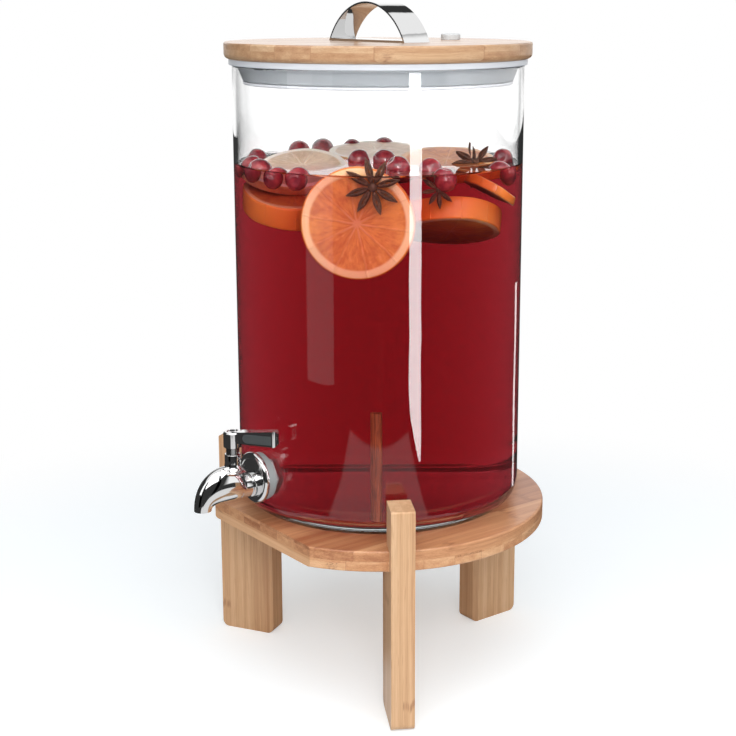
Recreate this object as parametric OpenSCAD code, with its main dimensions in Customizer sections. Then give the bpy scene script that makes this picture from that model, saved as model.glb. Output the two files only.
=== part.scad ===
// Drinks dispenser: a glass jar with a quarter-turn tap, a bamboo lid with a strap handle,
// and a bamboo stand on three legs. Millimetres, +Z up. The tap points along -Y. The origin is
// on the surface that the stand rests on, in the middle of the whole object's outline.

/* [Jar] */
// Outer radius of the glass
jar_r = 98; // [92:0.5:104]
// Height of the glass
jar_h = 301.5; // [220:0.5:340]
// Thickness of the glass wall
glass_t = 3; // [2.4:0.1:4]
// Thickness of the glass base
base_t = 8; // [6:0.5:12]
// Outer radius of the heel, where the wall meets the base
heel_r = 15; // [10:1:18]
// Height of the tap hole above the foot of the jar
tap_h = 32; // [29:0.5:60]

/* [Stand] */
// Height of the underside of the plate above the floor
stand_h = 107; // [70:1:140]
// Thickness of the plate
plate_t = 14; // [10:0.5:20]
// How far the rim of the plate stands out past the glass
plate_margin = 18.5; // [15:0.5:26]
// How far the straight front edge of the plate stands out past the glass
flat_margin = 2.5; // [1:0.5:8]
// Thickness of a leg board
leg_w = 15.5; // [12:0.5:20]
// Width of a leg board, measured towards the jar's axis
leg_depth = 42.5; // [34:0.5:52]
// How far a leg stands out past the rim of the plate
leg_overhang = 9; // [5:0.5:12]
// Height of a leg above the top of the plate
tang_h = 29.5; // [16:0.5:36]
// Play between the glass and the legs
jar_play = 4.5; // [2:0.5:6]
// Angle of a front leg from the direction of the tap
leg_angle = 60; // [52:1:68]
// Corner radius at the foot of a leg
foot_r = 5; // [2:0.5:8]
// Rounding of the plate's edges
plate_edge = 1.5; // [0.5:0.25:3]

/* [Lid] */
// How far the wooden disc stands out past the glass
lid_overhang = 5; // [3:0.5:10]
// Thickness of the wooden disc
lid_t = 11; // [9:0.5:16]
// Rounding under the rim of the wooden disc
lid_under_r = 3.5; // [1:0.5:5]
// How far the plastic flange stands out past the glass
core_overhang = 2; // [0.5:0.5:2.5]
// Thickness of the plastic flange on the rim of the jar
core_flange_t = 3.9; // [3:0.1:7]
// Depth of the plastic plug below the rim of the jar
plug_depth = 12.5; // [11:0.5:18]
// Free space between the lip of the seal and the glass
lip_gap = 0.5; // [0.3:0.05:0.8]
// Length of the handle from foot to foot
handle_span = 84; // [70:1:100]
// Height of the handle above the lid
handle_rise = 26; // [22:1:34]
// Width of the handle's strap
strap_w = 21; // [14:0.5:28]
// Thickness of the handle's strap
strap_t = 1.2; // [0.8:0.1:2]
// Distance of the air plug from the middle of the lid
vent_y = 63; // [40:1:72]
// Radius of the air plug's head
vent_r = 6.7; // [5.5:0.1:9]
// Height of the air plug's head
vent_head_t = 4; // [2.5:0.25:6]

/* [Tap] */
// Thickness of the outer washer, measured on the tap's axis
washer_t = 4.75; // [4:0.25:8]
// Radius of the outer washer
washer_r = 16; // [12.5:0.25:17]
// Radius of the round flange
flange_r = 17.25; // [15.5:0.25:19]
// Thickness of the round flange
flange_t = 4; // [3:0.25:6]
// Radius of the shank that passes through the glass
shank_r = 7.8; // [6.5:0.1:8.5]
// Radius of the barrel between flange and spout
barrel_r = 7.75; // [6.5:0.25:9]
// How far the barrel's axis lies below the shank's axis
barrel_drop = 4; // [2:0.25:4.5]
// Distance of the valve stem from the glass
stem_reach = 22.5; // [21:0.5:28]
// Distance of the outlet from the valve stem
spout_reach = 23.7; // [20:0.5:30]
// Height of the tap's axis above the outlet
spout_drop = 14.8; // [13:0.5:18]
// Outer radius of the spout at its outlet
spout_r = 5.7; // [5:0.1:7]
// Wall of the spout at its outlet
spout_wall = 1.5; // [1:0.1:2]
// Radius of the tower round the valve stem
tower_r = 5.4; // [5:0.1:7]
// Height of the tower above the tap's axis
tower_h = 19.7; // [17:0.5:24]
// Radius of the valve stem
stem_r = 3.5; // [3:0.1:3.8]
// Radius of the port through the valve stem
port_r = 2.5; // [1.8:0.1:2.6]
// Height of the part of the gland nut that shows
gland_h = 4.6; // [3:0.2:7]
// Thickness of the inner washer, measured on the tap's axis
inner_washer_t = 3.5; // [2.5:0.25:5]
// Radius of the inner washer
inner_washer_r = 12; // [11:0.5:13]
// Width of the backing nut across its flats
nut_w = 24; // [20:0.5:26]
// Thickness of the backing nut
nut_t = 6; // [4:0.5:9]

/* [Lever] */
// Radius of the lever's hub
hub_r = 6; // [5.4:0.1:8]
// Height of the lever's hub
hub_h = 10.4; // [8.5:0.1:12]
// Length of the lever from the stem's axis to its tip
lever_l = 32.5; // [28:0.5:33]
// Thickness of the lever
lever_t = 7; // [6:0.25:8]
// Height of the lever at its tip
lever_tip_h = 11; // [8.5:0.5:12]
// Angle of the closed lever from the direction of the spout
lever_angle = 125; // [100:1:126]
// Depth of the inlay in the side of the lever
inlay_t = 1; // [0.6:0.1:1.5]

/* [Hidden] */
$fn = 96;

// clearances
fit = 0.05;          // between a shaft or a screw and its hole
rest_gap = 0.1;      // between pieces that rest on each other or are clamped
hole_play = 0.6;     // between the shank and the hole in the glass
over = 1;            // how far a cut runs past the face that it opens

// stand
plate_top = stand_h + plate_t;
plate_r = jar_r + plate_margin;
plate_flat = jar_r + flat_margin;
leg_out = plate_r + leg_overhang;
leg_in = leg_out - leg_depth;
tang_in = jar_r + jar_play;
tang_r = 1.5;        // rounding of the leg's top corner

// jar
jar_z = plate_top + rest_gap;
jar_in = jar_r - glass_t;
jar_top = jar_z + jar_h;
rim_r = 0.4 * glass_t;
hole_r = shank_r + hole_play;

// tap, with heights from its own axis
tap_z = jar_z + tap_h;
flange_y = jar_r + washer_t;
flange_rim = 4.2;    // width of the flange's raised rim
flange_round = 2.2;  // rounding of the rim
flange_dish = 0.6;   // depth of the flange's face inside the rim
tower_flare = 5;     // radius of the hollow curve at the foot of the tower
stem_y = jar_r + stem_reach;
collar_r = barrel_r + 0.85;
collar_l = 2.8;
passage_z = -barrel_drop / 2;
passage_r = port_r + 0.5;
stem_land = 3.2;     // length of the stem below its port
stem_low = passage_z - port_r - stem_land;
gland_depth = 6.5;   // depth of the gland nut in the tower
stem_shoulder = tower_h - gland_depth;
neck_r = stem_r - 0.9;
spigot_r = stem_r + 0.7;
gland_top = tower_h + gland_h;
gland_r = spigot_r + 0.2;
seal_r = 0.53;       // radius of an O-ring's section
groove_w = 1.3;
groove_deep = 1.1;
groove_z = [passage_z + port_r + 2.4, stem_shoulder - 2];
shank_end = 3;       // length of the shank that stands out past its nut
shank_in = jar_in - inner_washer_t - nut_t - shank_end;

// spout: ring after ring spans from its upper outline to its lower one
spout_steps = 18;
spout_sides = 36;
root_y = stem_y - 7; // inside the barrel
root_high = -barrel_drop + barrel_r - 0.7;
root_low = -barrel_drop - barrel_r + 0.25;
outlet_y = stem_y + spout_reach;
upper = [[root_y, root_high], [stem_y - 1.5, root_high + 16.2],
         [outlet_y + spout_r, 13.6], [outlet_y + spout_r, -spout_drop]];
lower = [[root_y, root_low], [stem_y + 5.5, root_low - 1],
         [outlet_y - spout_r, 4 - spout_drop], [outlet_y - spout_r, -spout_drop]];
half_width = [barrel_r - 0.45, barrel_r + 2.8, spout_r + 0.8, spout_r];

// lever, with heights from the tap's axis
hub_z = gland_top + 0.4;
hub_top = hub_z + hub_h;
square_w = 1.5 * neck_r;
recess_z = hub_top - 2.2;
square_top = recess_z - 1.2;
screw_r = 1.2;
screw_grip = 2.4;    // length of the screw in the stem below the hub
head_z = recess_z + rest_gap;
head_r = 3.6;
head_t = 1.5;
socket_r = 1.5;      // hexagon socket in the screw's head
socket_deep = 0.8;
hub_bevel = 0.8;
lever_low = hub_z + 3.2;
lever_high = hub_top + 0.5;
lever_tip_r = 2.8;   // rounding of the lever's tip, seen from the side
inlay_in = hub_r + 2.6;
inlay_end = 3.8;
inlay_edge = 0.9;

// lid
core_z = jar_top + rest_gap;
disc_z = core_z + core_flange_t;
lid_top = disc_z + lid_t;
lid_r = jar_r + lid_overhang;
core_r = jar_r + core_overhang;
plug_r = jar_in - 7;
plug_z = core_z - plug_depth;
lip_r = jar_in - lip_gap;
foot_out = 2.6;      // how far the foot under the seal stands out past the plug
foot_t = 1.9;
seal_gap = 0.8;      // open joint between the foot and the seal
lip_t = 1.4;         // thickness of the seal's flared lip at its top edge
lip_free = 5;        // depth of the groove behind the lip
dish_rim = 4;        // width of the rim round the dish in the underside
dish_deep = 3;
dish_boss = 12;
rib_t = 2.4;
boss_r = 7.5;        // radius of the bosses round the screws and the air plug
core_screw_r = 2;
core_screw_at = 70;
core_screw_bite = lid_t - 4; // length of a screw in the wooden disc
core_head_r = 4;
core_head_t = 2.5;
core_head_z = plug_z + 3.5;  // bottom of a screw's head in its sunk hole
vent_stem_r = vent_r - 2.3;
vent_tip = 2.5;

// handle: an arc of a circle on a flat foot
arc_r = (pow(handle_span / 2, 2) + pow(handle_rise, 2)) / (2 * handle_rise);
arc_z = handle_rise - arc_r;
handle_screw_x = handle_span / 4;
handle_screw_r = 1.9;
pan_r = 3.6;
pan_t = 2.2;
pan_z = 1;           // how deep a handle screw's head lies in the underside of the disc

// The origin stands halfway between the spout's front and the rear leg's back.
front_reach = outlet_y + spout_r;
axis_y = (front_reach - leg_out) / 2;

// Moves what is drawn round the jar's axis to its place
module on_axis() {
    translate([0, axis_y, 0]) children();
}

// Lays what is drawn round +Z along the tap's axis, with z as the distance from the jar's axis
module on_tap_axis(height = 0) {
    on_axis() translate([0, 0, tap_z + height]) rotate([90, 0, 0]) children();
}

// Places what is drawn round the valve stem, with z = 0 on the tap's axis
module on_stem() {
    on_axis() translate([0, -stem_y, tap_z]) children();
}

// A square corner's waste outside an arc of radius r, for cutting from a profile at the origin
module corner_waste(r) {
    difference() {
        translate([-over, -over]) square(r + over);
        translate([r, r]) circle(r);
    }
}

module tube(outer, inner, length) {
    difference() {
        cylinder(r = outer, h = length);
        translate([0, 0, -over]) cylinder(r = inner, h = length + 2 * over);
    }
}

// ---- stand ----

// Side outline of a leg: x is the distance from the jar's axis, y the height
module leg_outline() {
    difference() {
        translate([leg_in, 0]) square([leg_depth, plate_top + tang_h]);
        translate([leg_in - over, stand_h]) square([tang_in - leg_in + over, plate_t + tang_h + over]);
        translate([leg_in, 0]) corner_waste(foot_r);
        translate([leg_out, 0]) mirror([1, 0]) corner_waste(foot_r);
        translate([leg_out, plate_top + tang_h]) rotate(180) corner_waste(tang_r);
    }
}

module leg(angle) {
    color("burlywood") on_axis() rotate([0, 0, angle - 90]) rotate([90, 0, 0])
        translate([0, 0, -leg_w / 2]) linear_extrude(leg_w) leg_outline();
}

// The part of the plate that a leg passes through
module leg_slot(angle) {
    rotate([0, 0, angle - 90]) translate([tang_in - rest_gap, -leg_w / 2 - fit, stand_h - over])
        cube([leg_out, leg_w + 2 * fit, plate_t + 2 * over]);
}

module plate_profile() {
    difference() {
        square([plate_r, plate_t]);
        translate([plate_r, 0]) mirror([1, 0]) corner_waste(plate_edge);
        translate([plate_r, plate_t]) rotate(180) corner_waste(plate_edge);
    }
}

module stand_plate() {
    color("peru") on_axis() difference() {
        translate([0, 0, stand_h]) rotate_extrude() plate_profile();
        translate([-plate_r, -plate_flat - plate_r, stand_h - over])
            cube([2 * plate_r, plate_r, plate_t + 2 * over]);
        for (angle = [-leg_angle, leg_angle, 180]) leg_slot(angle);
    }
}

module leg_front_left() { leg(-leg_angle); }

module leg_front_right() { leg(leg_angle); }

module leg_rear() { leg(180); }

// ---- jar ----

module jar_outline() {
    difference() {
        square([jar_r, jar_h]);
        translate([jar_r, 0]) mirror([1, 0]) corner_waste(heel_r);
        translate([jar_r, jar_h]) rotate(180) corner_waste(rim_r);
    }
}

module jar_hollow() {
    difference() {
        translate([0, base_t]) square([jar_in, jar_h]);
        translate([jar_in, base_t]) mirror([1, 0]) corner_waste(heel_r - glass_t);
    }
    translate([jar_in - over, jar_h]) difference() {
        translate([0, -rim_r]) square(rim_r + over);
        translate([rim_r + over, -rim_r]) circle(rim_r);
    }
}

module glass_jar() {
    color([0.85, 0.93, 0.95, 0.4]) difference() {
        on_axis() translate([0, 0, jar_z]) rotate_extrude() difference() {
            jar_outline();
            jar_hollow();
        }
        on_tap_axis() translate([0, 0, jar_in - 2 * over])
            cylinder(r = hole_r, h = glass_t + 4 * over);
    }
}

// ---- tap ----

// Soft washer, hollowed to sit on the round glass
module outer_washer() {
    saddle = jar_r - sqrt(jar_r * jar_r - washer_r * washer_r) + over;
    color("silver") difference() {
        on_tap_axis() translate([0, 0, jar_r - saddle])
            tube(washer_r, shank_r + fit, washer_t + saddle - rest_gap);
        on_axis() translate([0, 0, jar_z]) cylinder(r = jar_r + rest_gap, h = jar_h, $fn = 720);
    }
}

module inner_washer() {
    color("gainsboro") intersection() {
        on_tap_axis() translate([0, 0, jar_in - inner_washer_t])
            tube(inner_washer_r, shank_r + fit, inner_washer_t);
        on_axis() translate([0, 0, jar_z]) cylinder(r = jar_in - rest_gap, h = jar_h, $fn = 720);
    }
}

// Hexagon nut whose corners are turned off on its free side
module backing_nut() {
    bevel = 1.2;
    turned_r = nut_w / 2 - 0.2;
    color("lightgrey") on_tap_axis() translate([0, 0, jar_in - inner_washer_t - rest_gap - nut_t])
        difference() {
            intersection() {
                cylinder(d = nut_w / cos(30), h = nut_t, $fn = 6);
                cylinder(r1 = turned_r, r2 = turned_r + 2 * nut_t, h = nut_t);
            }
            translate([0, 0, -over]) cylinder(r = shank_r + fit, h = nut_t + 2 * over);
            translate([0, 0, -over]) cylinder(r1 = shank_r + bevel + over, r2 = shank_r, h = bevel + over);
        }
}

// Flange with a rounded rim and a raised ring behind its edge
module flange_profile() {
    difference() {
        square([flange_r, flange_t]);
        translate([flange_r, flange_t]) rotate(180) corner_waste(flange_round);
        translate([flange_r, 0]) mirror([1, 0]) corner_waste(flange_dish);
        translate([0, flange_t - flange_dish]) square([flange_r - flange_rim, flange_dish + over]);
    }
}

function curve(p, t) = pow(1 - t, 3) * p[0] + 3 * t * pow(1 - t, 2) * p[1]
    + 3 * t * t * (1 - t) * p[2] + pow(t, 3) * p[3];

// One ring of the spout: an ellipse from the lower outline to the upper one
function spout_ring(t) =
    let (high = curve(upper, t), low = curve(lower, t), wide = curve(half_width, t),
         middle = (high + low) / 2, half = (high - low) / 2)
    [for (i = [0 : spout_sides - 1])
        let (turn = 360 * i / spout_sides, p = middle + half * cos(turn))
        [wide * sin(turn), -p[0], p[1]]];

// The cast spout, from inside the barrel to its outlet, round the jar's axis at tap height
module spout_form() {
    points = [for (s = [0 : spout_steps]) each spout_ring(s / spout_steps)];
    first = [for (i = [spout_sides - 1 : -1 : 0]) i];
    last = [for (i = [0 : spout_sides - 1]) spout_steps * spout_sides + i];
    sides = [for (s = [0 : spout_steps - 1], i = [0 : spout_sides - 1])
        let (j = (i + 1) % spout_sides, a = s * spout_sides, b = a + spout_sides)
        each [[a + i, b + j, b + i], [a + i, a + j, b + j]]];
    on_axis() translate([0, 0, tap_z]) polyhedron(points, concat([first, last], sides));
}

// Slanted passage from the valve to the outlet
module outlet_passage() {
    bore_r = spout_r - spout_wall;
    bore_top = 5.5 - spout_drop;
    run = spout_reach;
    fall = passage_z - bore_top;
    on_stem() {
        translate([0, -spout_reach, -spout_drop - over])
            cylinder(r = bore_r, h = bore_top + spout_drop + over);
        translate([0, -spout_reach, bore_top]) sphere(bore_r);
        translate([0, 0, passage_z]) rotate([90 + atan2(fall, run), 0, 0])
            cylinder(r = passage_r, h = norm([run, fall]));
    }
}

// The tower, which flares in a hollow curve where it meets the spout
module tower_profile() {
    foot_z = root_high + 5.5;
    square([tower_r, tower_h]);
    translate([0, foot_z]) difference() {
        square([tower_r + tower_flare, tower_flare]);
        translate([tower_r + tower_flare, tower_flare]) circle(tower_flare);
    }
}

module tap_body() {
    barrel_end = stem_y - stem_r;
    color("gainsboro") difference() {
        union() {
            on_tap_axis() translate([0, 0, flange_y]) rotate_extrude() flange_profile();
            on_tap_axis() translate([0, 0, shank_in]) cylinder(r = shank_r, h = flange_y + over - shank_in);
            on_tap_axis(-barrel_drop) translate([0, 0, flange_y + over])
                cylinder(r = barrel_r, h = barrel_end - flange_y - over);
            on_tap_axis(-barrel_drop) translate([0, 0, flange_y + over])
                cylinder(r = collar_r, h = flange_t - over + collar_l);
            spout_form();
            on_stem() rotate_extrude() tower_profile();
        }
        on_tap_axis(passage_z) translate([0, 0, shank_in - over])
            cylinder(r = passage_r, h = stem_y - shank_in + over);
        outlet_passage();
        on_stem() translate([0, 0, stem_low]) cylinder(r = stem_r + fit, h = stem_shoulder - stem_low + over);
        on_stem() translate([0, 0, stem_shoulder + fit]) cylinder(r = spigot_r + fit, h = tower_h);
    }
}

module gland_nut() {
    color("dimgray") on_stem() difference() {
        union() {
            translate([0, 0, stem_shoulder + 2 * rest_gap])
                cylinder(r = spigot_r, h = tower_h - stem_shoulder);
            translate([0, 0, tower_h + rest_gap]) cylinder(r = gland_r, h = gland_h - rest_gap);
        }
        cylinder(r = neck_r + fit, h = gland_top + over);
    }
}

// ---- valve and lever ----

// Quarter-turn plug: closed, its port lies across the passage
module valve_stem() {
    color("silver") on_stem() difference() {
        union() {
            translate([0, 0, stem_low + rest_gap])
                cylinder(r = stem_r, h = stem_shoulder - stem_low - rest_gap);
            cylinder(r = neck_r, h = hub_z);
            translate([-square_w / 2, -square_w / 2, hub_z]) cube([square_w, square_w, square_top - hub_z]);
        }
        translate([0, 0, passage_z]) rotate([0, 90, 0]) cylinder(r = port_r, h = 4 * stem_r, center = true);
        for (z = groove_z) translate([0, 0, z - groove_w / 2])
            tube(stem_r + over, stem_r - groove_deep, groove_w);
        translate([0, 0, hub_z - screw_grip - 2 * fit]) cylinder(r = screw_r + fit, h = hub_h);
    }
}

module stem_seals() {
    color("black") on_stem() for (z = groove_z)
        translate([0, 0, z]) rotate_extrude() translate([stem_r - seal_r, 0]) circle(seal_r);
}

// Side outline of the lever: x is the distance from the stem's axis
module lever_outline() {
    tip_low = lever_low - 0.6;
    tip_high = tip_low + lever_tip_h;
    difference() {
        polygon([[0, lever_low], [lever_l, tip_low], [lever_l, tip_high],
                 [hub_r, lever_high], [0, lever_high]]);
        translate([lever_l, tip_low]) mirror([1, 0]) corner_waste(lever_tip_r);
        translate([lever_l, tip_high]) rotate(180) corner_waste(lever_tip_r);
    }
}

module lever_plan() {
    end_r = lever_t / 2;
    translate([0, -end_r]) square([lever_l - end_r, lever_t]);
    translate([lever_l - end_r, 0]) circle(end_r);
}

module hub_profile() {
    polygon([[0, 0], [hub_r, 0], [hub_r, hub_h - hub_bevel], [hub_r - hub_bevel, hub_h], [0, hub_h]]);
}

module on_lever() {
    on_stem() rotate([0, 0, lever_angle - 90]) children();
}

// Pocket for the inlay in the side of the lever that faces outwards, grown by a gap
module inlay_form(gap) {
    end_r = (lever_high - lever_low) / 2 - inlay_edge;
    straight = lever_l - inlay_end - inlay_in - end_r;
    translate([inlay_in + end_r, -lever_t / 2 + inlay_t + gap, lever_low + inlay_edge + end_r])
        rotate([90, 0, 0]) {
            cylinder(r = end_r + gap, h = inlay_t + over);
            translate([0, -end_r - gap, 0]) cube([straight + gap, 2 * (end_r + gap), inlay_t + over]);
        }
}

module lever() {
    color("gainsboro") difference() {
        union() {
            on_stem() translate([0, 0, hub_z]) rotate_extrude() hub_profile();
            on_lever() intersection() {
                rotate([90, 0, 0]) translate([0, 0, -lever_t]) linear_extrude(2 * lever_t) lever_outline();
                linear_extrude(hub_top + lever_tip_h) lever_plan();
            }
        }
        on_stem() translate([-square_w / 2 - fit, -square_w / 2 - fit, hub_z - over])
            cube([square_w + 2 * fit, square_w + 2 * fit, square_top - hub_z + over + fit]);
        on_stem() translate([0, 0, hub_z]) cylinder(r = screw_r + fit, h = hub_h);
        on_stem() translate([0, 0, recess_z]) cylinder(r = head_r + 2 * fit, h = hub_h);
        on_lever() inlay_form(fit);
    }
}

module lever_inlay() {
    color([0.27, 0.27, 0.28]) on_lever() intersection() {
        inlay_form(0);
        translate([0, -lever_t / 2, hub_z - hub_h]) cube([lever_l, lever_t, 3 * hub_h]);
    }
}

module lever_screw() {
    shaft_z = hub_z - screw_grip;
    color("silver") on_stem() difference() {
        union() {
            translate([0, 0, shaft_z]) cylinder(r = screw_r, h = head_z + head_t / 2 - shaft_z);
            translate([0, 0, head_z]) cylinder(r = head_r, h = head_t);
        }
        translate([0, 0, head_z + head_t - socket_deep])
            cylinder(r = socket_r, h = socket_deep + over, $fn = 6);
    }
}

// ---- lid ----

module disc_profile() {
    difference() {
        square([lid_r, lid_t]);
        translate([lid_r, 0]) mirror([1, 0]) corner_waste(lid_under_r);
        translate([lid_r, lid_t]) rotate(180) corner_waste(1.2);
    }
}

module lid_disc() {
    color("burlywood") on_axis() difference() {
        translate([0, 0, disc_z]) rotate_extrude() disc_profile();
        translate([0, vent_y, disc_z - over]) cylinder(r = vent_stem_r + rest_gap, h = lid_t + 2 * over);
        for (side = [-1, 1]) translate([side * handle_screw_x, 0, disc_z - over]) {
            cylinder(r = handle_screw_r + fit, h = lid_t + 2 * over);
            cylinder(r = pan_r + rest_gap, h = over + pan_z + pan_t + rest_gap);
        }
        core_screw_places() translate([0, 0, disc_z - over])
            cylinder(r = core_screw_r + fit, h = over + core_screw_bite + rest_gap);
    }
}

module core_screw_places() {
    for (turn = [45 : 90 : 315]) rotate([0, 0, turn]) translate([core_screw_at, 0, 0]) children();
}

// Shallow dish moulded into the underside, with ribs that run out from a boss in the middle
module underside_recess() {
    translate([0, 0, plug_z - over]) difference() {
        tube(plug_r - dish_rim, dish_boss, over + dish_deep);
        for (turn = [0 : 90 : 270]) rotate([0, 0, turn]) translate([0, -rib_t / 2, -over])
            cube([plug_r, rib_t, dish_deep + 3 * over]);
        core_screw_places() translate([0, 0, -over]) cylinder(r = boss_r, h = dish_deep + 3 * over);
        translate([0, vent_y, -over]) cylinder(r = boss_r, h = dish_deep + 3 * over);
    }
}

// Moulded core: a flange that lies on the rim of the jar and a plug inside it
module lid_core() {
    full = plug_depth + core_flange_t - rest_gap;
    color("whitesmoke") on_axis() difference() {
        translate([0, 0, plug_z]) rotate_extrude() difference() {
            union() {
                square([plug_r, full]);
                square([plug_r + foot_out, foot_t]);
                translate([0, plug_depth]) square([core_r, full - plug_depth]);
            }
            translate([plug_r + foot_out, 0]) mirror([1, 0]) corner_waste(foot_t / 2);
            translate([core_r, plug_depth]) mirror([1, 0]) corner_waste(0.8);
        }
        underside_recess();
        translate([0, vent_y, plug_z - over]) cylinder(r = vent_stem_r + rest_gap, h = full + 2 * over);
        core_screw_places() {
            translate([0, 0, plug_z - over]) cylinder(r = core_screw_r + fit, h = full + 2 * over);
            translate([0, 0, plug_z - over])
                cylinder(r = core_head_r + rest_gap, h = over + core_head_z + core_head_t - plug_z);
        }
    }
}

// Ring stretched over the plug above its foot. Its lip flares out to the glass.
module lid_seal() {
    seal_low = plug_z + foot_t + seal_gap;
    seal_h = core_z - rest_gap - seal_low;
    low_r = plug_r + foot_out + 0.3;
    color("lightgrey") on_axis() translate([0, 0, seal_low]) rotate_extrude() difference() {
        polygon([[plug_r + fit, 0], [low_r, 0], [lip_r, seal_h], [plug_r + fit, seal_h]]);
        polygon([[lip_r - lip_t, seal_h + over], [lip_r - lip_t, seal_h], [low_r - lip_t, seal_h - lip_free],
                 [plug_r + lip_t, seal_h], [plug_r + lip_t, seal_h + over]]);
    }
}

module core_screws() {
    color("silver") on_axis() core_screw_places() {
        translate([0, 0, core_head_z]) cylinder(r = core_head_r, h = core_head_t - rest_gap);
        translate([0, 0, core_head_z + core_head_t / 2])
            cylinder(r = core_screw_r, h = disc_z + core_screw_bite - core_head_z - core_head_t / 2);
    }
}

module handle_strap() {
    color("gainsboro") on_axis() translate([0, 0, lid_top + fit]) difference() {
        rotate([90, 0, 0]) translate([0, 0, -strap_w / 2]) linear_extrude(strap_w) {
            difference() {
                translate([0, arc_z]) circle(arc_r);
                translate([0, arc_z]) circle(arc_r - strap_t);
                translate([-handle_span, -2 * arc_r]) square([2 * handle_span, 2 * arc_r]);
            }
            intersection() {
                translate([0, arc_z]) circle(arc_r);
                translate([-handle_span / 2, 0]) square([handle_span, strap_t]);
            }
        }
        for (side = [-1, 1]) translate([side * handle_screw_x, 0, -over])
            cylinder(r = handle_screw_r + fit, h = strap_t + 2 * over);
    }
}

// Screws that come up through the disc and end flush with the strap's foot
module handle_screws() {
    head_low = disc_z + pan_z;
    color("silver") on_axis() for (side = [-1, 1]) translate([side * handle_screw_x, 0, head_low]) {
        cylinder(r = pan_r, h = pan_t);
        cylinder(r = handle_screw_r, h = lid_top + strap_t - head_low);
    }
}

module vent_plug() {
    stem_l = lid_t + core_flange_t + plug_depth - vent_tip;
    color("gainsboro") on_axis() translate([0, vent_y, lid_top]) {
        translate([0, 0, rest_gap]) rotate_extrude() difference() {
            square([vent_r, vent_head_t]);
            translate([vent_r, vent_head_t]) rotate(180) corner_waste(1);
        }
        translate([0, 0, -stem_l]) cylinder(r = vent_stem_r, h = stem_l + 2 * rest_gap);
        translate([0, 0, -stem_l - vent_tip])
            cylinder(r1 = vent_stem_r - 1.2, r2 = vent_stem_r, h = vent_tip);
    }
}

stand_plate();
leg_front_left();
leg_front_right();
leg_rear();
glass_jar();
outer_washer();
tap_body();
inner_washer();
backing_nut();
gland_nut();
valve_stem();
stem_seals();
lever();
lever_inlay();
lever_screw();
lid_disc();
lid_core();
lid_seal();
core_screws();
handle_strap();
handle_screws();
vent_plug();
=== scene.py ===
import math
import random

import bmesh
import bpy
from mathutils import Matrix, Vector, noise


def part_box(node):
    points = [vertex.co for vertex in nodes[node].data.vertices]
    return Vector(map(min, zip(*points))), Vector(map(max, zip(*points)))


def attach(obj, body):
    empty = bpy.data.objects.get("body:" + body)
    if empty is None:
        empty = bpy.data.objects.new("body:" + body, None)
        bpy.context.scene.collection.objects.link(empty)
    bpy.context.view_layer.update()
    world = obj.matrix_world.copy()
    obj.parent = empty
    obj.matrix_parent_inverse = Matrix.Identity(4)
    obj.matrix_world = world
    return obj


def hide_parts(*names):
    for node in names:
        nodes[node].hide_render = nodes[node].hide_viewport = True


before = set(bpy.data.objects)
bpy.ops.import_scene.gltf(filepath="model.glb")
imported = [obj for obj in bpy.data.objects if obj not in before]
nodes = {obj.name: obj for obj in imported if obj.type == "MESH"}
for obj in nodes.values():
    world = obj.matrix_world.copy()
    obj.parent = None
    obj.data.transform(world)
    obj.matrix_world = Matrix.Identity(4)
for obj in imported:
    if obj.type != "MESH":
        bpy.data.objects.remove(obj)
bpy.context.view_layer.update()        # refresh the scene after the import
scene = bpy.context.scene
scene.view_settings.view_transform = "Standard"

jarLow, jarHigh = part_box("glass_jar")
axisY = (jarLow.y + jarHigh.y) / 2
jarRadius = (jarHigh.x - jarLow.x) / 2
plateLow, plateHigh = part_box("stand_plate")


# Finishes: a small wrapper, so that shader maths reads as sums

class Wire:                       # the output of a node; sums on it add Math nodes
    def __init__(self, paint, socket):
        self.paint = paint
        self.socket = socket

    def __add__(self, other):
        return self.paint.maths("ADD", self, other)

    __radd__ = __add__

    def __sub__(self, other):
        return self.paint.maths("SUBTRACT", self, other)

    def __rsub__(self, other):
        return self.paint.maths("SUBTRACT", other, self)

    def __mul__(self, other):
        return self.paint.maths("MULTIPLY", self, other)

    __rmul__ = __mul__

    def __truediv__(self, other):
        return self.paint.maths("DIVIDE", self, other)


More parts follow.
